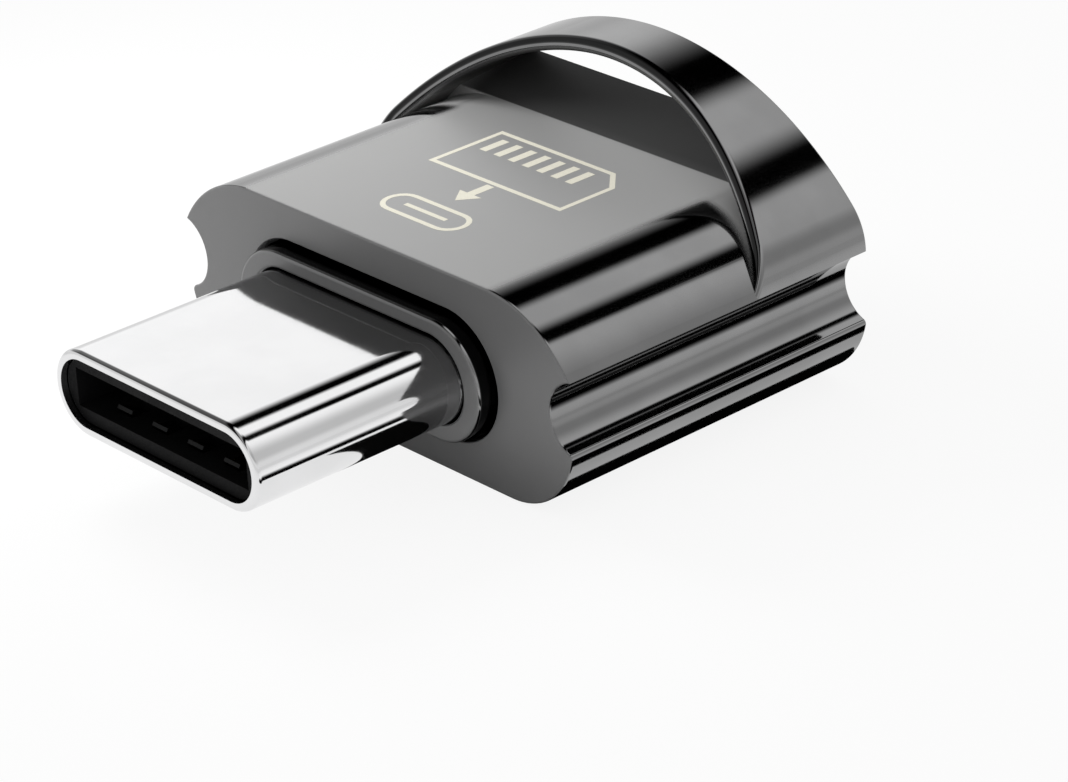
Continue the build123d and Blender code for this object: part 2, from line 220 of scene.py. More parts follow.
def arc(centre, radius, start, end, steps):
    """Points (x, z) along an arc, angles in degrees from +X towards +Z."""
    turn = [math.radians(start + (end - start) * i / steps) for i in range(steps + 1)]
    return [(centre[0] + radius * math.cos(a), centre[1] + radius * math.sin(a)) for a in turn]


def mirrored(points):
    """The points with their mirror images across X = 0, as one loop."""
    return points + [(-x, z) for x, z in reversed(points)]


def offset_loop(points, inwards):
    """A closed counter-clockwise loop moved inwards by a distance, with mitred corners."""
    count = len(points)
    normals = []
    for i in range(count):
        (x0, z0), (x1, z1) = points[i], points[(i + 1) % count]
        length = math.hypot(x1 - x0, z1 - z0)
        normals.append(((z1 - z0) / length, (x0 - x1) / length))
    moved = []
    for i in range(count):
        (ax, az), (bx, bz) = normals[i - 1], normals[i]
        scale = inwards / (1 + ax * bx + az * bz)
        moved.append((points[i][0] - (ax + bx) * scale, points[i][1] - (az + bz) * scale))
    return moved


def stadium(size, grow, steps):
    """A flat-sided oval round the plug's axis, grown outwards by a distance."""
    radius = size[1] / 2 + grow
    reach = (size[0] - size[1]) / 2
    return arc((reach, PLUG_Z), radius, -90, 90, steps) + arc((-reach, PLUG_Z), radius, 90, 270, steps)


def rounded_box(size, middle_z, radius, steps):
    """A rectangle with round corners, centred on X = 0."""
    x = size[0] / 2 - radius
    z = size[1] / 2 - radius
    places = ((x, middle_z - z, -90), (x, middle_z + z, 0), (-x, middle_z + z, 90), (-x, middle_z - z, 180))
    points = []
    for px, pz, start in places:
        points += arc((px, pz), radius, start, start + 90, steps)
    return points


def at(loop, y):
    """A loop of (x, z) points put at a station along Y."""
    return [(x, y, z) for x, z in loop]


def quarter(steps):
    """Pairs (along, across) of a quarter round, from the end face's side to the wall's side."""
    turns = [math.pi / 2 * i / steps for i in range(steps + 1)]
    return [(1 - math.cos(a), 1 - math.sin(a)) for a in turns]


def loft(rows, ring=False):
    """A closed mesh through loops of equal length, capped at both ends or joined into a ring."""
    bm = bmesh.new()
    grid = [[bm.verts.new(point) for point in row] for row in rows]
    count = len(grid[0])
    last = len(grid) if ring else len(grid) - 1
    for r in range(last):
        near, far = grid[r], grid[(r + 1) % len(grid)]
        for i in range(count):
            j = (i + 1) % count
            bm.faces.new((near[i], near[j], far[j], far[i]))
    if not ring:
        bm.faces.new(grid[0])
        bm.faces.new(list(reversed(grid[-1])))
    bmesh.ops.recalc_face_normals(bm, faces=bm.faces)
    return bm_to_mesh(bm)


def bm_to_mesh(bm):
    """A mesh data-block from a bmesh, which is freed."""
    mesh = bpy.data.meshes.new("stock")
    bm.to_mesh(mesh)
    bm.free()
    return mesh


def joined(meshes):
    """One mesh from several that don't touch."""
    bm = bmesh.new()
    for mesh in meshes:
        bm.from_mesh(mesh)
        bpy.data.meshes.remove(mesh)
    return bm_to_mesh(bm)


def evaluated_mesh(obj):
    """The object's mesh with its modifiers carried out."""
    graph = bpy.context.evaluated_depsgraph_get()
    return bpy.data.meshes.new_from_object(obj.evaluated_get(graph), depsgraph=graph)


def discard(obj):
    """Removes a working object and its mesh."""
    mesh = obj.data
    bpy.data.objects.remove(obj)
    bpy.data.meshes.remove(mesh)


def carve(stock, tool, operation):
    """The stock mesh joined with, kept inside or cut by the tool mesh. Both are used up."""
    base = bpy.data.objects.new("stock", stock)
    cutter = bpy.data.objects.new("cutter", tool)
    for obj in (base, cutter):
        bpy.context.scene.collection.objects.link(obj)
    change = base.modifiers.new("carve", "BOOLEAN")
    change.operation = operation
    change.solver = "MANIFOLD"
    change.object = cutter
    result = evaluated_mesh(base)
    discard(base)
    discard(cutter)
    if not result.polygons:
        raise RuntimeError(f"nothing is left after {operation}")
    return result


def weld(mesh):
    """Merges corners that the Booleans leave on top of each other, in millimetres."""
    bm = bmesh.new()
    bm.from_mesh(mesh)
    bmesh.ops.remove_doubles(bm, verts=bm.verts, dist=WELD)
    bm.to_mesh(mesh)
    bm.free()


def frame_ends(mesh):
    """Marks the edges round the flat ends across Y sharp, so that the ends keep one normal."""
    bm = bmesh.new()
    bm.from_mesh(mesh)
    for edge in bm.edges:
        flat = {abs(face.normal.y) > END_FLATNESS for face in edge.link_faces}
        if len(flat) == 2:
            edge.smooth = False
    bm.to_mesh(mesh)
    bm.free()


def square_walls(mesh):
    """Turns the shading of walls along Y square to Y, where the edge rounds beside them tilt it."""
    on_wall = set()
    for face in mesh.polygons:
        if abs(face.normal.y) < WALL_FLATNESS:
            on_wall.update(face.vertices)
    normals = [corner.vector.copy() for corner in mesh.corner_normals]
    for loop, normal in zip(mesh.loops, normals):
        if loop.vertex_index in on_wall and abs(normal.y) < WALL_TILT:
            normal.y = 0.0
            normal.normalize()
    mesh.normals_split_custom_set(normals)


def place(name, mesh, material, replaced=()):
    """Makes a finished piece of a mesh: to metres, smooth with sharp edges kept, and riding on the body."""
    weld(mesh)
    mesh.transform(Matrix.Scale(MM, 4))
    mesh.shade_smooth()
    mesh.set_sharp_from_angle(angle=SHARP_ANGLE)
    frame_ends(mesh)
    mesh.materials.clear()
    mesh.materials.append(material)
    draft = bpy.data.objects.new("draft", mesh)
    bpy.context.scene.collection.objects.link(draft)
    even = draft.modifiers.new("even normals", "WEIGHTED_NORMAL")
    even.mode = "FACE_AREA"
    even.keep_sharp = True
    final = evaluated_mesh(draft)
    discard(draft)
    square_walls(final)
    final.name = name
    piece = bpy.data.objects.new(name, final)
    bpy.context.scene.collection.objects.link(piece)
    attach(piece, BODY)
    if replaced:
        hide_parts(*replaced)
    return piece


class Val:
    """A shader socket. Arithmetic on it adds Math nodes."""

    def __init__(self, net, socket):
        self.net = net
        self.socket = socket

    def math(self, operation, first, second):
        return self.net.add("ShaderNodeMath", {"operation": operation}, {0: first, 1: second})

    def __add__(self, other):
        return self.math("ADD", self, other)

    def __sub__(self, other):
        return self.math("SUBTRACT", self, other)

    def __rsub__(self, other):
        return self.math("SUBTRACT", other, self)

    def __mul__(self, other):
        return self.math("MULTIPLY", self, other)

    def __abs__(self):
        return self.math("ABSOLUTE", self, 0.0)

    __radd__ = __add__
    __rmul__ = __mul__


class Net:
    """A node tree under construction."""

    def __init__(self, tree):
        self.tree = tree
        tree.nodes.clear()

    def add(self, kind, settings=None, sockets=None, out=0):
        """Adds a node, sets it, then fills or links its sockets. Gives the named or numbered output."""
        node = self.tree.nodes.new(kind)
        for key, value in (settings or {}).items():
            setattr(node, key, value)
        for key, value in (sockets or {}).items():
            if isinstance(value, Val):
                self.tree.links.new(value.socket, node.inputs[key])
            else:
                node.inputs[key].default_value = value
        return Val(self, node.outputs[out]) if len(node.outputs) else node

    def step(self, value, start, end, low=0.0, high=1.0):
        """A smooth change from low to high between two values."""
        return self.add(
            "ShaderNodeMapRange",
            {"interpolation_type": "SMOOTHSTEP"},
            {"Value": value, "From Min": start, "From Max": end, "To Min": low, "To Max": high},
        )

    def fade(self, value, level, margins, low=0.0, high=1.0):
        """A smooth change from one margin of a level to the other, in millimetres."""
        start, end = ((level + margin) * MM for margin in margins)
        return self.step(value, start, end, low, high)

    def noise(self, vector, scale, detail=3.0, roughness=0.5):
        return self.add(
            "ShaderNodeTexNoise",
            {"noise_dimensions": "3D"},
            {"Vector": vector, "Scale": scale, "Detail": detail, "Roughness": roughness},
        )

    def place(self, scale=(1.0, 1.0, 1.0)):
        """Object coordinates, stretched per axis."""
        spot = self.add("ShaderNodeTexCoord", out="Object")
        return self.add("ShaderNodeMapping", None, {"Vector": spot, "Scale": scale})

    def axes(self, vector):
        """The three parts of a vector."""
        parts = self.add("ShaderNodeSeparateXYZ", None, {"Vector": vector})
        return [Val(self, socket) for socket in parts.socket.node.outputs]

    def tint(self, factor, first, second):
        return self.add(
            "ShaderNodeMix",
            {"data_type": "RGBA"},
            {"Factor": factor, 6: (*first, 1.0), 7: (*second, 1.0)},
            out=2,
        )

    def blend(self, factor, first, second):
        """A colour socket turning into a plain colour."""
        return self.add(
            "ShaderNodeMix",
            {"data_type": "RGBA"},
            {"Factor": factor, 6: first, 7: (*second, 1.0)},
            out=2,
        )

    def bump(self, height, distance, strength=1.0):
        return self.add(
            "ShaderNodeBump", None, {"Height": height, "Distance": distance, "Strength": strength}
        )


def new_material(name):
    """A material with an empty node tree."""
    material = bpy.data.materials.new(name)
    material.use_nodes = True
    return material, Net(material.node_tree)


def surface(net, sockets):
    """Ends a material's tree in one Principled shader."""
    shader = net.add("ShaderNodeBsdfPrincipled", None, sockets)
    net.add("ShaderNodeOutputMaterial", None, {"Surface": shader})


def shade(colour, factor):
    """A colour made lighter or darker."""
    return tuple(min(1.0, part * factor) for part in colour)


def plating(net, colour):
    """Tone, roughness and relief that the plated pieces share."""
    cloud = net.noise(net.place(), scale=420.0, detail=4.0)
    hair = net.noise(net.place((1.0, 0.06, 1.0)), scale=26000.0, detail=2.0)
    grain = net.noise(net.place(), scale=60000.0, detail=2.0)
    tone = net.tint(net.step(cloud, 0.35, 0.65), shade(colour, 0.95), shade(colour, 1.05))
    polish = net.step(cloud * 0.6 + hair * 0.4, 0.3, 0.7, 0.06, 0.085)
    return tone, polish, net.bump(hair * 0.7 + grain * 0.3, distance=2.0e-7, strength=0.12)


def blasted(net, y, face_y):
    """One on a face across Y, nothing behind it."""
    return net.fade(y, face_y, BLAST_EDGE, 1.0, 0.0)


def casting_plate(name, colour, deck_colour, recess_shade_colour):
    """Dark plating: mirror bright on the round sides, blasted on the front face, paler satin on the deck and
    beside it under the hoop, and painted shade on the sill and the arch's inside: a dull dark colour that
    stands in for the shade under the hoop."""
    material, net = new_material(name)
    x, y, z = net.axes(net.place())
    front = blasted(net, y, FRONT_Y)
    side = abs(x)
    over_deck = net.fade(z, DECK_Z, OVER_DECK)
    beside = net.fade(side, DECK_FLAT_HALF, BESIDE_DECK)
    deck = net.fade(z, DECK_Z, DECK_SKIN) * (1 - over_deck) * (1 - beside)
    rise = z - CROWN_CENTRE_Z * MM
    inside = CROWN_RADIUS - HOOP_THICKNESS
    reach = (x * x + rise * rise) * (1 / MM**2)
    under = net.step(reach, (inside + ARCH_SKIN[0]) ** 2, (inside + ARCH_SKIN[1]) ** 2, 1.0, 0.0)
    feet = net.fade(side, 0.0, HOOP_FEET)
    behind = net.fade(y - z * math.tan(HOOP_LEAN), rim_y(0.0), BEHIND_RIM)
    above_lip = net.fade(z, UPPER_LIP_Z, ABOVE_LIP)
    # Painted shade: the sill and the arch's inside under the hoop are coloured dull and dark, except at the
    # hoop's feet
    painted_recess_shade = under * over_deck * (1 - feet)
    wrap = under * above_lip * behind * beside * (1 - over_deck * (1 - feet))
    satin = deck + wrap
    tone, polish, relief = plating(net, colour)
    tone = net.blend(satin, tone, deck_colour)
    tone = net.blend(painted_recess_shade, tone, recess_shade_colour)
    surface(net, {
        "Base Color": net.blend(front, tone, shade(colour, BLAST_SHADE)),
        "Metallic": 1.0 - front * BLAST_METAL_LOSS - satin * SATIN_METAL_LOSS - painted_recess_shade * RECESS_SHADE_METAL_LOSS,
        "Roughness": polish + front * BLAST_ROUGHNESS + satin * SATIN_ROUGHNESS + painted_recess_shade * RECESS_SHADE_ROUGHNESS,
        "Normal": relief,
    })
    return material


def collar_plate(name, colour, side_shade_colour):
    """Dark plating of the collar: blasted face, bright edge, and a side wall painted black as shade in
    the gap round the collar.
    """
    material, net = new_material(name)
    y = net.axes(net.place())[1]
    front = blasted(net, y, COLLAR_FACE_Y)
    # Painted shade: behind its front edge the collar's side wall is coloured black, as the gap round the
    # collar is in shade
    side = net.fade(y, COLLAR_FACE_Y, COLLAR_EDGE)
    tone, polish, relief = plating(net, colour)
    tone = net.blend(side, tone, side_shade_colour)
    surface(net, {
        "Base Color": net.blend(front, tone, shade(colour, BLAST_SHADE)),
        "Metallic": 1.0 - front * BLAST_METAL_LOSS,
        "Roughness": polish + front * BLAST_ROUGHNESS,
        "Normal": relief,
    })
    return material


def plug_chrome(name, colour):
    """Bright drawn steel: lines along the plug and a light rub on them."""
    material, net = new_material(name)
    cloud = net.noise(net.place(), scale=500.0, detail=3.0)
    lines = net.noise(net.place((1.0, 0.02, 1.0)), scale=22000.0, detail=3.0)
    surface(net, {
        "Base Color": net.tint(net.step(cloud, 0.3, 0.7), shade(colour, 0.96), colour),
        "Metallic": 1.0,
        "Roughness": net.step(lines * 0.6 + cloud * 0.4, 0.3, 0.7, 0.045, 0.09),
        "Normal": net.bump(lines, distance=2.5e-7, strength=0.4),
    })
    return material


def moulded_plastic(name, colour, low, high, sheen=0.5):
    """Moulded plastic with a fine spark-eroded grain."""
    material, net = new_material(name)
    grain = net.noise(net.place(), scale=14000.0, detail=3.0)
    cloud = net.noise(net.place(), scale=900.0, detail=3.0)
    surface(net, {
        "Base Color": net.tint(net.step(cloud, 0.3, 0.7), shade(colour, 0.85), shade(colour, 1.15)),
        "Roughness": net.step(cloud * 0.5 + grain * 0.5, 0.3, 0.7, low, high),
        "Specular IOR Level": sheen,
        "Normal": net.bump(grain, distance=4.0e-6, strength=0.5),
    })
    return material


def stamped_metal(name, colour, low, high):
    """Thin stamped sheet: rolling lines along Y and a dull patch here and there."""
    material, net = new_material(name)
    lines = net.noise(net.place((1.0, 0.05, 1.0)), scale=16000.0, detail=3.0)
    cloud = net.noise(net.place(), scale=1200.0, detail=3.0)
    surface(net, {
        "Base Color": net.tint(net.step(cloud, 0.3, 0.7), shade(colour, 0.88), colour),
        "Metallic": 1.0,
        "Roughness": net.step(lines * 0.5 + cloud * 0.5, 0.3, 0.7, low, high),
        "Normal": net.bump(lines, distance=8.0e-7, strength=0.5),
    })
    return material


def board_lacquer(name, colour, copper):
    """Circuit board: lacquer over copper tracks that show through as lighter bands."""
    material, net = new_material(name)
    spot = net.place()
    tracks = net.add(
        "ShaderNodeTexBrick",
        {"offset": 0.5, "squash": 1.0},
        {"Vector": spot, "Scale": 900.0, "Mortar Size": 0.02, "Color1": (0, 0, 0, 1),
         "Color2": (0, 0, 0, 1), "Mortar": (1, 1, 1, 1)},
        out="Fac",
    )
    grain = net.noise(spot, scale=6000.0, detail=2.0)
    surface(net, {
        "Base Color": net.tint(tracks, colour, copper),
        "Roughness": net.step(grain, 0.3, 0.7, 0.25, 0.4),
        "Normal": net.bump(tracks, distance=4.0e-6, strength=0.6),
    })
    return material


def etched_lacquer(name, colour):
    """Pale marking on the deck: matt, slightly speckled where the laser passed."""
    material, net = new_material(name)
    speckle = net.noise(net.place(), scale=30000.0, detail=3.0)
    surface(net, {
        "Base Color": net.tint(net.step(speckle, 0.35, 0.65), shade(colour, 0.92), colour),
        "Roughness": net.step(speckle, 0.3, 0.7, 0.45, 0.65),
        "Normal": net.bump(speckle, distance=1.0e-6, strength=0.4),
    })
    return material


class ReaderSizes(bpy.types.PropertyGroup):
    """Fine sizes that the solids leave to the looks."""

    edge_round: FloatProperty(
        name="Edge round", description="Radius of the casting's front and rear edges",
        default=0.07 * MM, min=0.01 * MM, max=0.3 * MM, unit="LENGTH", precision=6)
    rim_round: FloatProperty(
        name="Rim round", description="Radius of the hoop's two front edges",
        default=0.17 * MM, min=0.01 * MM, max=0.2 * MM, unit="LENGTH", precision=6)
    collar_round: FloatProperty(
        name="Collar round", description="Radius of the collar's front edges",
        default=0.10 * MM, min=0.01 * MM, max=0.3 * MM, unit="LENGTH", precision=6)
    lip_round: FloatProperty(
        name="Lip round", description="Radius of the plug's outer lip",
        default=0.13 * MM, min=0.01 * MM, max=0.24 * MM, unit="LENGTH", precision=6)
    bezel_round: FloatProperty(
        name="Insert round", description="Radius of the rear insert's outer edge and slot edge",
        default=0.12 * MM, min=0.01 * MM, max=0.2 * MM, unit="LENGTH", precision=6)
    arc_steps: IntProperty(
        name="Arc steps", description="Faces along each large arc", default=64, min=12, max=200)
    round_steps: IntProperty(
        name="Round steps", description="Faces across each small edge round", default=7, min=2, max=16)
    stroke: FloatProperty(
        name="Stroke", description="Line width of the etched marks",
        default=0.15 * MM, min=0.02 * MM, max=0.4 * MM, unit="LENGTH", precision=6)
    mark_depth: FloatProperty(
        name="Mark height", description="How far the marks stand proud of the deck",
        default=0.004 * MM, min=0.001 * MM, max=0.05 * MM, unit="LENGTH", precision=6)
    bar_count: IntProperty(
        name="Contact bars", description="Bars in the card sign", default=7, min=1, max=12)


class ReaderColours(bpy.types.PropertyGroup):
    """Base colours of the finishes and of the painted shade under the hoop and on the collar's side."""

    plate: FloatVectorProperty(
        name="Dark plating", description="Casting and collar", subtype="COLOR",
        default=(0.254, 0.254, 0.255))
    deck: FloatVectorProperty(
        name="Satin deck", description="Paler satin of the top face", subtype="COLOR",
        default=(0.39, 0.39, 0.388))
    # Colour of the painted shade under the hoop, on the sill and the arch's inside
    painted_recess_shade: FloatVectorProperty(
        name="Recess", description="Dull dark finish under the hoop", subtype="COLOR",
        default=(0.045, 0.045, 0.045))
    # Colour of the painted shade on the collar's side wall, in the gap round the collar
    collar_side_shade: FloatVectorProperty(
        name="Collar side", description="Black side wall of the collar", subtype="COLOR",
        default=(0.03, 0.03, 0.031))
    chrome: FloatVectorProperty(
        name="Plug", description="Plug shell", subtype="COLOR", default=(0.84, 0.84, 0.845))
    plastic: FloatVectorProperty(
        name="Black plastic", description="Mouldings", subtype="COLOR", default=(0.018, 0.018, 0.019))
    gold: FloatVectorProperty(
        name="Contacts", description="Plated contacts", subtype="COLOR", default=(0.83, 0.62, 0.28))
    spring: FloatVectorProperty(
        name="Sheet steel", description="Springs, latch and socket cover", subtype="COLOR",
        default=(0.60, 0.60, 0.61))
    board: FloatVectorProperty(
        name="Board", description="Board lacquer", subtype="COLOR", default=(0.02, 0.12, 0.06))
    marks: FloatVectorProperty(
        name="Marks", description="Etched marks", subtype="COLOR", default=(0.77, 0.745, 0.63))


class StageSettings(bpy.types.PropertyGroup):
    """Camera and light of the stage."""

    azimuth: FloatProperty(
        name="Azimuth", description="Camera's turn from the plug's end towards the right side",
        default=math.radians(48.98), subtype="ANGLE")
    elevation: FloatProperty(
        name="Elevation", description="Camera's height above the horizon",
        default=math.radians(26.16), subtype="ANGLE")
    roll: FloatProperty(
        name="Roll", description="Camera's roll", default=math.radians(-3.08), subtype="ANGLE")
    distance: FloatProperty(
        name="Distance", description="From the aim point to the camera", default=97.58 * MM, unit="LENGTH",
        precision=5)
    side_shift: FloatProperty(
        name="Side shift", description="Camera's move to its right", default=4.28 * MM, unit="LENGTH",
        precision=5)
    up_shift: FloatProperty(
        name="Up shift", description="Camera's move upwards", default=-2.41 * MM, unit="LENGTH", precision=5)
    lens: FloatProperty(name="Lens", description="Focal length in millimetres", default=128.33, min=10.0)
    key_power: FloatProperty(
        name="Key lamp", description="Power of the soft lamp at the left front", default=0.0065, min=0.0,
        unit="POWER")


class ReaderOperator:
    """What the piece operators share."""

    bl_options = {"REGISTER", "UNDO"}

    @property
    def sizes(self):
        return bpy.context.scene.reader_sizes

    @property
    def colours(self):
        return bpy.context.scene.reader_colours


def body_half(steps):
    """Right half of the casting's section, from the underside up to the deck."""
    bottom_flat = HALF_WIDTH - math.sqrt(2 * BOTTOM_CORNER_RADIUS * LOWER_LIP_Z - LOWER_LIP_Z**2)
    low = (bottom_flat, BOTTOM_CORNER_RADIUS)
    groove = (GROOVE_X, GROOVE_Z)
    high = (DECK_FLAT_HALF, DECK_Z - TOP_CORNER_RADIUS)
    # The lower lip's round touches the bottom corner from inside and the groove from outside
    low_reach = BOTTOM_CORNER_RADIUS - LOWER_LIP_RADIUS
    groove_reach = GROOVE_RADIUS + LOWER_LIP_RADIUS
    between = Vector(groove) - Vector(low)
    span = between.length
    along = (span**2 + low_reach**2 - groove_reach**2) / (2 * span)
    aside = math.sqrt(low_reach**2 - along**2)
    across = Vector((between.y, -between.x)) / span
    lip = Vector(low) + between / span * along + across * aside
    low_end = math.degrees(math.atan2(lip.y - low[1], lip.x - low[0]))
    groove_start = math.degrees(math.atan2(lip.y - groove[1], lip.x - groove[0]))
    lip_end = groove_start + 180
    groove_end = math.degrees(math.atan2(UPPER_LIP_Z - groove[1], HALF_WIDTH - groove[0]))
    high_start = math.degrees(math.atan2(UPPER_LIP_Z - high[1], HALF_WIDTH - high[0]))
    points = arc(low, BOTTOM_CORNER_RADIUS, -90, low_end, steps // 2)
    points += arc(tuple(lip), LOWER_LIP_RADIUS, low_end, lip_end, steps // 6)[1:]
    # Beside the upper lip's keen edge some points are left out, so that an inset loop doesn't fold there
    points += arc(groove, GROOVE_RADIUS, groove_start % 360, groove_end % 360, steps)[1:-LIP_CLEAR]
    wall = points + [(HALF_WIDTH, UPPER_LIP_Z)]
    return wall, arc(high, TOP_CORNER_RADIUS, high_start, 90, steps)[LIP_CLEAR:]


def hoop_line(steps):
    """Outer line of the hoop from the right lip to the left: points with their outward normals."""
    crown = (0.0, CROWN_CENTRE_Z)
    shoulder = (SHOULDER_X, UPPER_LIP_Z)
    turn = math.degrees(math.atan2(UPPER_LIP_Z - CROWN_CENTRE_Z, SHOULDER_X))
    half = [(shoulder, SHOULDER_RADIUS, turn * i / steps) for i in range(steps)]
    half += [(crown, CROWN_RADIUS, turn + (90 - turn) * i / steps) for i in range(steps)]
    line = []
    for centre, radius, angle in half:
        nx, nz = math.cos(math.radians(angle)), math.sin(math.radians(angle))
        line.append(((centre[0] + radius * nx, centre[1] + radius * nz), (nx, nz)))
    line[0] = ((HALF_WIDTH, UPPER_LIP_Z), (1.0, 0.0))
    other = [((-x, z), (-nx, nz)) for (x, z), (nx, nz) in reversed(line)]
    return line + [((0.0, CROWN_Z), (0.0, 1.0))] + other


def rim_y(z):
    """Station of the hoop's leaning front at a height."""
    return REAR_Y - HOOP_WIDTH - math.tan(HOOP_LEAN) * (CROWN_Z - z)


def rounded_corner(before, corner, after, radius, steps):
    """Points of an arc that rounds a corner of a flat outline."""
    to_before = (Vector(before) - Vector(corner)).normalized()
    to_after = (Vector(after) - Vector(corner)).normalized()
    half = to_before.angle(to_after) / 2
    centre = Vector(corner) + (to_before + to_after).normalized() * radius / math.sin(half)
    start = Vector(corner) + to_before * radius / math.tan(half) - centre
    end = Vector(corner) + to_after * radius / math.tan(half) - centre
    swing = math.pi - 2 * half
    points = []
    for i in range(steps + 1):
        share = i / steps
        ray = start * math.sin((1 - share) * swing) + end * math.sin(share * swing)
        points.append(tuple(centre + ray / math.sin(swing)))
    return points


def hoop_mesh(rim_radius, arc_steps, round_steps):
    """The hoop as a sweep of its leaning section along the outer line."""
    rear = REAR_Y + OVERRUN
    rows = []
    for (x, z), (nx, nz) in hoop_line(arc_steps):
        outer = (rim_y(z), 0.0)
        inner = (rim_y(z - HOOP_THICKNESS * nz), HOOP_THICKNESS)
        rear_outer, rear_inner = (rear, 0.0), (rear, HOOP_THICKNESS)
        section = rounded_corner(rear_outer, outer, inner, rim_radius, round_steps)
        section += rounded_corner(outer, inner, rear_inner, rim_radius, round_steps)
        section += [rear_inner, rear_outer]
        rows.append([(x - depth * nx, y, z - depth * nz) for y, depth in section])
    return loft(rows)


def sill_mesh(steps):
    """The ramp under the hoop, its sides buried in the hoop's wall."""
    line = [point for point, normal in hoop_line(steps)]
    rows = []
    top = DECK_Z + SILL_HEIGHT
    for y, z in ((REAR_Y - SILL_RUN, DECK_Z), (REAR_Y, top), (REAR_Y + OVERRUN, top)):
        half = max(x for x, height in line if height >= z) - HOOP_THICKNESS / 2
        rows.append(at(mirrored(SILL_LEG + [(half, z)]), y))
    return loft(rows)


class READER_OT_housing(ReaderOperator, bpy.types.Operator):
    """Builds the polished casting with its grooves, hoop and sill"""

    bl_idname = "reader.housing"
    bl_label = "Casting with hoop"

    def execute(self, context):
        sizes = self.sizes
        edge = sizes.edge_round / MM
        steps, small = sizes.arc_steps, sizes.round_steps
        wall, top = body_half(steps)
        outline = mirrored(wall + top)
        rows = [at(offset_loop(outline, edge * across), FRONT_Y + edge * along)
                for along, across in quarter(small)]
        rows.append(at(outline, REAR_Y + OVERRUN))
        mesh = loft(rows)
        cavity_size = (2 * CAVITY_HALF, CAVITY_TOP_Z - FLOOR_WALL)
        cavity = rounded_box(cavity_size, CAVITY_MIDDLE_Z, CAVITY_CORNER_RADIUS, small)
        mesh = carve(mesh, loft([at(cavity, WALL_BACK_Y), at(cavity, REAR_Y + 2 * OVERRUN)]), "DIFFERENCE")
        hole = [
            (COLLAR_SEAT_BEVEL + OVERRUN, FRONT_Y - OVERRUN),
            (0.0, FRONT_Y + COLLAR_SEAT_BEVEL),
            (0.0, WALL_BACK_Y + OVERRUN),
        ]
        rows = [at(stadium(COLLAR_HOLE, grow, steps), y) for grow, y in hole]
        mesh = carve(mesh, loft(rows), "DIFFERENCE")
        mesh = carve(mesh, sill_mesh(steps // 2), "UNION")
        mesh = carve(mesh, hoop_mesh(sizes.rim_round / MM, steps, small), "UNION")
        hoop = [point for point, normal in hoop_line(steps)]
        arch = hoop[:1] + hoop[LIP_CLEAR:-LIP_CLEAR] + hoop[-1:]
        whole = wall[:-1] + arch + [(-x, z) for x, z in reversed(wall[:-1])]
        rows = [at(offset_loop(whole, -STAND_OFF), FRONT_Y - OVERRUN)]
        for along, across in reversed(quarter(small)):
            rows.append(at(offset_loop(whole, edge * across - STAND_OFF), REAR_Y - edge * along))
        mesh = carve(mesh, loft(rows), "INTERSECT")
        colours = self.colours
        finish = casting_plate("dark_plating", colours.plate, colours.deck, colours.painted_recess_shade)
        place("polished_casting", mesh, finish, ("housing",))
        return {"FINISHED"}


class READER_OT_collar(ReaderOperator, bpy.types.Operator):
    """Builds the oval collar round the plug, with its flange behind the front wall"""

    bl_idname = "reader.collar"
    bl_label = "Oval collar"

    def execute(self, context):
        sizes = self.sizes
        radius = sizes.collar_round / MM
        steps, small = sizes.arc_steps, sizes.round_steps
        rounds = quarter(small)
        rows = [at(stadium(COLLAR_BORE, radius * across, steps), COLLAR_FACE_Y + radius * along)
                for along, across in reversed(rounds)]
        rows += [at(stadium(COLLAR, -radius * across, steps), COLLAR_FACE_Y + radius * along)
                 for along, across in rounds]
        rows += [at(stadium(COLLAR, 0.0, steps), WALL_BACK_Y)]
        rows += [at(stadium(COLLAR_FLANGE, 0.0, steps), y) for y in (WALL_BACK_Y, FLANGE_BACK_Y)]
        rows += [at(stadium(COLLAR_BORE, 0.0, steps), FLANGE_BACK_Y)]
        finish = collar_plate("collar_plating", self.colours.plate, self.colours.collar_side_shade)
        place("oval_collar", loft(rows, ring=True), finish, ("front_collar",))
        return {"FINISHED"}


class READER_OT_plug(ReaderOperator, bpy.types.Operator):
    """Builds the plug's drawn shell with its rounded lip"""

    bl_idname = "reader.plug"
    bl_label = "Plug shell"

    def execute(self, context):
        sizes = self.sizes
        radius = sizes.lip_round / MM
        steps, small = sizes.arc_steps, sizes.round_steps
        rows = [at(stadium(PLUG, 0.0, steps), TAIL_Y)]
        rows += [at(stadium(PLUG, -radius * across, steps), TIP_Y + radius * along)
                 for along, across in reversed(quarter(small))]
        rows += [at(stadium(PLUG, -PLUG_WALL, steps), y) for y in (TIP_Y, TAIL_Y)]
        finish = plug_chrome("drawn_steel", self.colours.chrome)
        place("drawn_plug_shell", loft(rows, ring=True), finish, ("plug_shell",))
        return {"FINISHED"}


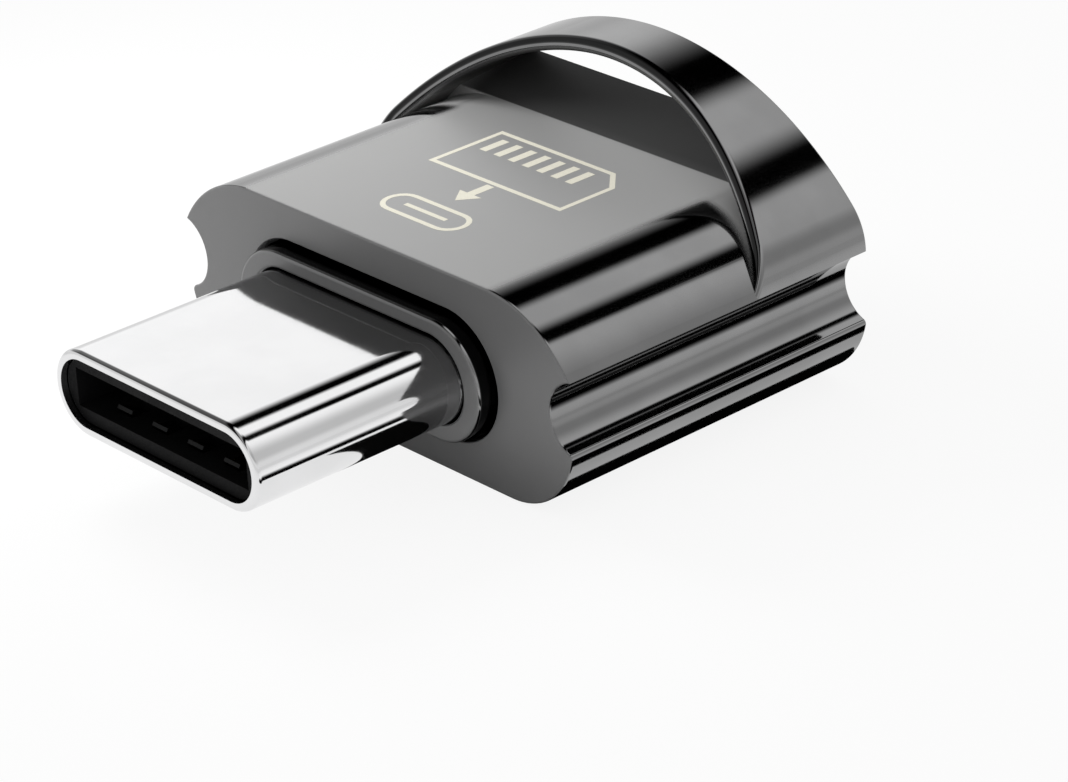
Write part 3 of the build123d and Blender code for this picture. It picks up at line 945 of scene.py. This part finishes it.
class READER_OT_insert(ReaderOperator, bpy.types.Operator):
    """Builds the rear insert with its card slot"""

    bl_idname = "reader.insert"
    bl_label = "Rear insert"

    def execute(self, context):
        sizes = self.sizes
        radius = sizes.bezel_round / MM
        small = sizes.round_steps
        outer_size = (2 * (CAVITY_HALF - BEZEL_FIT), CAVITY_TOP_Z - FLOOR_WALL - 2 * BEZEL_FIT)
        outer = rounded_box(outer_size, CAVITY_MIDDLE_Z, CAVITY_CORNER_RADIUS - BEZEL_FIT, small)
        slot = rounded_box(SLOT, SLOT_Z, SLOT_CORNER, small)
        rows = [at(outer, BEZEL_FRONT_Y)]
        rows += [at(offset_loop(outer, radius * across), REAR_Y - radius * along)
                 for along, across in reversed(quarter(small))]
        rows += [at(offset_loop(slot, -radius * across), REAR_Y - radius * along)
                 for along, across in quarter(small)]
        rows += [at(slot, BEZEL_FRONT_Y)]
        finish = moulded_plastic("insert_plastic", self.colours.plastic, low=0.32, high=0.5)
        place("moulded_rear_insert", loft(rows, ring=True), finish, ("rear_bezel",))
        return {"FINISHED"}


def frame_stroke(points, width, low, high):
    """A closed outline drawn as a flat band, from (x, y) points in counter-clockwise order."""
    outer = offset_loop(points, -width / 2)
    inner = offset_loop(points, width / 2)
    corners = ((outer, low), (outer, high), (inner, high), (inner, low))
    return loft([[(x, y, z) for x, y in loop] for loop, z in corners], ring=True)


def solid_stroke(points, low, high):
    """A filled flat shape."""
    return loft([[(x, y, z) for x, y in points] for z in (low, high)])


def bar_tree(material):
    """Geometry Nodes tree of a row of equal bars."""
    tree = bpy.data.node_groups.new("contact_bars", "GeometryNodeTree")
    tree.interface.new_socket("Geometry", in_out="OUTPUT", socket_type="NodeSocketGeometry")
    names = {}
    kinds = (("Count", "NodeSocketInt"), ("Pitch", "NodeSocketFloat"), ("Bar Size", "NodeSocketVector"),
             ("First Bar", "NodeSocketVector"))
    for label, kind in kinds:
        names[label] = tree.interface.new_socket(label, in_out="INPUT", socket_type=kind).identifier
    net = Net(tree)
    source = tree.nodes.new("NodeGroupInput")
    given = {label: Val(net, source.outputs[label]) for label in names}
    step = net.add("ShaderNodeCombineXYZ", None, {"X": given["Pitch"]})
    line = net.add("GeometryNodeMeshLine", {"mode": "OFFSET"},
                   {"Count": given["Count"], "Start Location": given["First Bar"], "Offset": step})
    bar = net.add("GeometryNodeMeshCube", None, {"Size": given["Bar Size"]})
    row = net.add("GeometryNodeInstanceOnPoints", None, {"Points": line, "Instance": bar})
    real = net.add("GeometryNodeRealizeInstances", None, {"Geometry": row})
    done = net.add("GeometryNodeSetMaterial", None, {"Geometry": real, "Material": material})
    net.add("NodeGroupOutput", None, {"Geometry": done})
    return tree, names


class READER_OT_marks(ReaderOperator, bpy.types.Operator):
    """Builds the etched signs on the deck: a card with contact bars, an arrow and an oval plug mouth"""

    bl_idname = "reader.marks"
    bl_label = "Etched marks"

    def execute(self, context):
        sizes = self.sizes
        width = sizes.stroke / MM
        low, high = DECK_Z - MARK_SINK, DECK_Z + sizes.mark_depth / MM
        finish = etched_lacquer("pale_etching", self.colours.marks)
        oval = [(x, z - PLUG_Z + OVAL_Y) for x, z in stadium(OVAL_SIGN, 0.0, OVAL_STEPS)]
        near, far = OVAL_Y - width / 2, OVAL_Y + width / 2
        tongue = [(-TONGUE_HALF, near), (TONGUE_HALF, near), (TONGUE_HALF, far), (-TONGUE_HALF, far)]
        signs = joined([
            frame_stroke(CARD_SIGN, width, low, high),
            frame_stroke(oval, width, low, high),
            solid_stroke(tongue, low, high),
            solid_stroke(ARROW_SIGN, low, high),
        ])
        place("etched_signs", signs, finish)

        tree, names = bar_tree(finish)
        count = sizes.bar_count
        carrier = bpy.data.objects.new("bar_carrier", bpy.data.meshes.new("bar_carrier"))
        bpy.context.scene.collection.objects.link(carrier)
        maker = carrier.modifiers.new("bars", "NODES")
        maker.node_group = tree
        maker[names["Count"]] = count
        maker[names["Pitch"]] = BAR_PITCH
        maker[names["Bar Size"]] = (BAR_WIDTH, BAR_LENGTH, high - low)
        first_x = -BAR_PITCH * (count - 1) / 2 - BARS_TO_LEFT
        maker[names["First Bar"]] = (first_x, BAR_Y, (low + high) / 2)
        bars = evaluated_mesh(carrier)
        discard(carrier)
        place("etched_contact_bars", bars, finish)
        return {"FINISHED"}


class READER_OT_finishes(ReaderOperator, bpy.types.Operator):
    """Gives the solids that stay in view their finishes, with painted shade on the insulator and ground
    springs in the plug's mouth
    """

    bl_idname = "reader.finishes"
    bl_label = "Finishes of the inner pieces"

    def execute(self, context):
        colours = self.colours
        plastic = moulded_plastic("moulded_black", colours.plastic, low=0.35, high=0.55)
        # Painted shade: the plug's insulator is a darker copy of the black plastic, so that the plug's mouth
        # reads black
        mouth_shade_colour = shade(colours.plastic, MOUTH_SHADE)
        mouth = moulded_plastic("shaded_mouth_plastic", mouth_shade_colour, low=0.5, high=0.7, sheen=0.1)
        gold = stamped_metal("contact_gold", colours.gold, low=0.16, high=0.3)
        spring = stamped_metal("sheet_steel", colours.spring, low=0.2, high=0.38)
        # Painted shade: the ground springs in the plug's mouth are a near-black copy of the sheet steel
        shaded_springs = stamped_metal("shaded_spring_steel", shade(colours.spring, MOUTH_SPRING_SHADE), low=0.3, high=0.5)
        finishes = {
            "plug_insulator": mouth,
            "contact_carrier": plastic,
            "card_socket_base": plastic,
            "upper_contacts": gold,
            "lower_contacts": gold,
            "card_contacts": gold,
            "card_detect_contact": gold,
            "latch_plate": spring,
            "upper_ground_spring": shaded_springs,
            "lower_ground_spring": shaded_springs,
            "card_socket_cover": spring,
            "circuit_board": board_lacquer("board_lacquer", colours.board, COPPER),
            "controller_chip": moulded_plastic("chip_resin", CHIP_RESIN, low=0.5, high=0.7),
            "capacitors": moulded_plastic("capacitor_ceramic", CAPACITOR_CERAMIC, low=0.4, high=0.6),
            "resistors": moulded_plastic("resistor_glaze", RESISTOR_GLAZE, low=0.25, high=0.45),
        }
        for node, material in finishes.items():
            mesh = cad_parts[node].data
            mesh.materials.clear()
            mesh.materials.append(material)
        return {"FINISHED"}


def second_reflection(net):
    """One for rays that metal has thrown on twice or more, nothing for others."""
    depth = net.add("ShaderNodeLightPath", out="Glossy Depth")
    return net.step(depth, *SECOND_DEPTH)


def studio_world(world):
    """A light tent: even light on matt surfaces, dark strips, a dim left and a dim front to be mirrored in
    the metal, a pale wall round the horizon, and plain white for the camera."""
    world.use_nodes = True
    net = Net(world.node_tree)
    ray = net.add("ShaderNodeTexCoord", out="Generated")
    x, y, z = net.axes(ray)
    turn = x.math("ARCTAN2", z, x) * math.degrees(1.0)
    right = net.step(turn, *RIGHT_CLOTH) * net.step(turn, *RIGHT_CLOTH_END)
    top = net.step(turn, *TOP_CLOTH) * net.step(turn, *TOP_CLOTH_END)
    left = net.step(turn, *LEFT_CLOTH) * net.step(y, *LEFT_TO_FRONT)
    cloth = right * net.step(y, *RIGHT_AT_FRONT) + (top + left) * net.step(y, *TOP_AT_FRONT)
    wall = net.step(z, *WALL_BY_HEIGHT)
    tent = (cloth * (1 - wall) + wall * WALL_LIGHT) * (1 - second_reflection(net) * SECOND_DIMMING)
    matt = net.add("ShaderNodeLightPath", out="Is Diffuse Ray")
    mirrored_matt = net.step(net.add("ShaderNodeLightPath", out="Glossy Depth"), *MIRRORED_MATT)
    camera = net.add("ShaderNodeLightPath", out="Is Camera Ray")
    strength = camera + (1 - camera) * (tent * (1 - matt) + matt * mirrored_matt * MATT_LIGHT)
    glow = net.add("ShaderNodeBackground", None, {"Color": (1.0, 1.0, 1.0, 1.0), "Strength": strength})
    net.add("ShaderNodeOutputWorld", None, {"Surface": glow})


def floor_material():
    """Pale floor that keeps a soft shadow, is nearly white to the camera and dims far off in the metal."""
    material, net = new_material("pale_floor")
    camera, glossy, clear = [net.add("ShaderNodeLightPath", out=kind)
                             for kind in ("Is Camera Ray", "Is Glossy Ray", "Is Transmission Ray")]
    x, y = net.axes(net.place())[:2]
    start, end = ((reach * MM) ** 2 for reach in FLOOR_FADE)
    far = net.step(x * x + y * y, start, end, 1.0, FLOOR_FAR_LIGHT)
    matt = net.add("ShaderNodeBsdfDiffuse", None, {"Color": (FLOOR_GREY, FLOOR_GREY, FLOOR_GREY, 1.0)})
    white = net.add("ShaderNodeEmission", None,
                    {"Color": (1.0, 1.0, 1.0, 1.0), "Strength": camera + clear + glossy * far})
    seen = (camera + glossy + clear) * FLOOR_WHITE_SHARE
    both = net.add("ShaderNodeMixShader", None, {"Fac": seen, 1: matt, 2: white})
    net.add("ShaderNodeOutputMaterial", None, {"Surface": both})
    return material


def contact_shadow_material():
    """Matt black of the pad that the reader's foot hides: painted contact shadow under the overhang, seen
    only in the metal's reflections.
    """
    material, net = new_material("painted_contact_shadow")
    matt = net.add("ShaderNodeBsdfDiffuse", None, {"Color": (CONTACT_SHADOW_GREY, CONTACT_SHADOW_GREY, CONTACT_SHADOW_GREY, 1.0)})
    net.add("ShaderNodeOutputMaterial", None, {"Surface": matt})
    return material


def flag_material():
    """Card beside the reader, black at its near edge and white further out. Second reflections, between the
    groove's two sides, meet it the other way round."""
    material, net = new_material("graded_flag")
    x = net.axes(net.place())[0]
    second = second_reflection(net)
    fade = net.fade(x, 0.0, FLAG_RISE) * net.fade(x, 0.0, FLAG_FAR, 1.0, FLAG_FAR_LIGHT)
    near = net.fade(x, 0.0, FLAG_NEAR, 1.0, 0.0)
    strength = fade * (1 - second) + near * second
    glow = net.add("ShaderNodeEmission", None, {"Color": (1.0, 1.0, 1.0, 1.0), "Strength": strength})
    net.add("ShaderNodeOutputMaterial", None, {"Surface": glow})
    return material


def sheet_at(name, low, high, z, material):
    """A flat stage sheet between two corners, in millimetres."""
    mesh = bpy.data.meshes.new(name)
    corners = [low, (high[0], low[1]), high, (low[0], high[1])]
    mesh.from_pydata([(x * MM, y * MM, z * MM) for x, y in corners], [], [(0, 1, 2, 3)])
    mesh.materials.append(material)
    sheet = bpy.data.objects.new(name, mesh)
    bpy.context.scene.collection.objects.link(sheet)
    return sheet


class READER_OT_stage(bpy.types.Operator):
    """Sets the floor, the light tent, the lamp and the camera"""

    bl_idname = "reader.stage"
    bl_label = "Stage, light and camera"
    bl_options = {"REGISTER", "UNDO"}

    def execute(self, context):
        scene = bpy.context.scene
        stage = scene.reader_stage
        far = FLOOR_REACH
        sheet_at("floor", (-far, -far), (far, far), FLOOR_Z, floor_material())
        pads = [
            # Painted contact shadow: a black pad under the reader, hidden from the camera, for the metal to
            # mirror
            sheet_at("contact_shadow_pad", *CONTACT_SHADOW_PAD, PAD_Z, contact_shadow_material()),
            sheet_at("side_flag", *SIDE_FLAG, PAD_Z, flag_material()),
        ]
        for pad in pads:
            pad.visible_camera = False
            pad.visible_diffuse = False
            pad.visible_shadow = False
        scene.world = bpy.data.worlds.new("light_tent")
        studio_world(scene.world)

        lamp_data = bpy.data.lights.new("key_lamp", "AREA")
        lamp_data.shape = "DISK"
        lamp_data.size = LAMP_SIZE * MM
        lamp_data.energy = stage.key_power
        lamp = bpy.data.objects.new("key_lamp", lamp_data)
        lamp.location = Vector(LAMP_PLACE) * MM
        lamp.rotation_mode = "QUATERNION"
        lamp.rotation_quaternion = lamp.location.to_track_quat("Z", "Y")
        lamp.visible_camera = False
        lamp.visible_glossy = False
        scene.collection.objects.link(lamp)

        cosine = math.cos(stage.elevation)
        back = Vector((math.sin(stage.azimuth) * cosine, -math.cos(stage.azimuth) * cosine,
                       math.sin(stage.elevation)))
        level = Vector((math.cos(stage.azimuth), math.sin(stage.azimuth), 0.0))
        upright = back.cross(level)
        right = level * math.cos(stage.roll) + upright * math.sin(stage.roll)
        up = upright * math.cos(stage.roll) - level * math.sin(stage.roll)
        aim = Vector((0.0, FRONT_Y * MM, UPPER_LIP_Z * MM))
        camera_data = bpy.data.cameras.new("camera")
        camera_data.lens = stage.lens
        camera_data.sensor_width = SENSOR_WIDTH
        camera_data.clip_start, camera_data.clip_end = CLIP_RANGE
        camera = bpy.data.objects.new("camera", camera_data)
        turn = Matrix((right, up, back)).transposed().to_4x4()
        spot = aim + right * stage.side_shift + up * stage.up_shift + back * stage.distance
        camera.matrix_world = Matrix.Translation(spot) @ turn
        scene.collection.objects.link(camera)
        scene.camera = camera
        scene.view_settings.view_transform = "Standard"
        return {"FINISHED"}


PIECE_OPERATORS = (
    READER_OT_housing,
    READER_OT_collar,
    READER_OT_plug,
    READER_OT_insert,
    READER_OT_marks,
    READER_OT_finishes,
    READER_OT_stage,
)


class READER_PT_panel(bpy.types.Panel):
    """Lists the pieces of the card reader"""

    bl_idname = "READER_PT_panel"
    bl_label = "Card Reader"
    bl_space_type = "VIEW_3D"
    bl_region_type = "UI"
    bl_category = "Card Reader"

    def draw(self, context):
        for operator in PIECE_OPERATORS:
            self.layout.operator(operator.bl_idname)
        for group in (context.scene.reader_sizes, context.scene.reader_colours, context.scene.reader_stage):
            box = self.layout.box()
            for name in group.__annotations__:
                box.prop(group, name)


CLASSES = (ReaderSizes, ReaderColours, StageSettings, *PIECE_OPERATORS, READER_PT_panel)


def register():
    for kind in CLASSES:
        bpy.utils.register_class(kind)
    bpy.types.Scene.reader_sizes = PointerProperty(type=ReaderSizes)
    bpy.types.Scene.reader_colours = PointerProperty(type=ReaderColours)
    bpy.types.Scene.reader_stage = PointerProperty(type=StageSettings)


def unregister():
    del bpy.types.Scene.reader_stage
    del bpy.types.Scene.reader_colours
    del bpy.types.Scene.reader_sizes
    for kind in reversed(CLASSES):
        bpy.utils.unregister_class(kind)


def main():
    register()
    bpy.ops.reader.housing()
    bpy.ops.reader.collar()
    bpy.ops.reader.plug()
    bpy.ops.reader.insert()
    bpy.ops.reader.marks()
    bpy.ops.reader.finishes()
    bpy.ops.reader.stage()


if __name__ == "__main__":
    main()
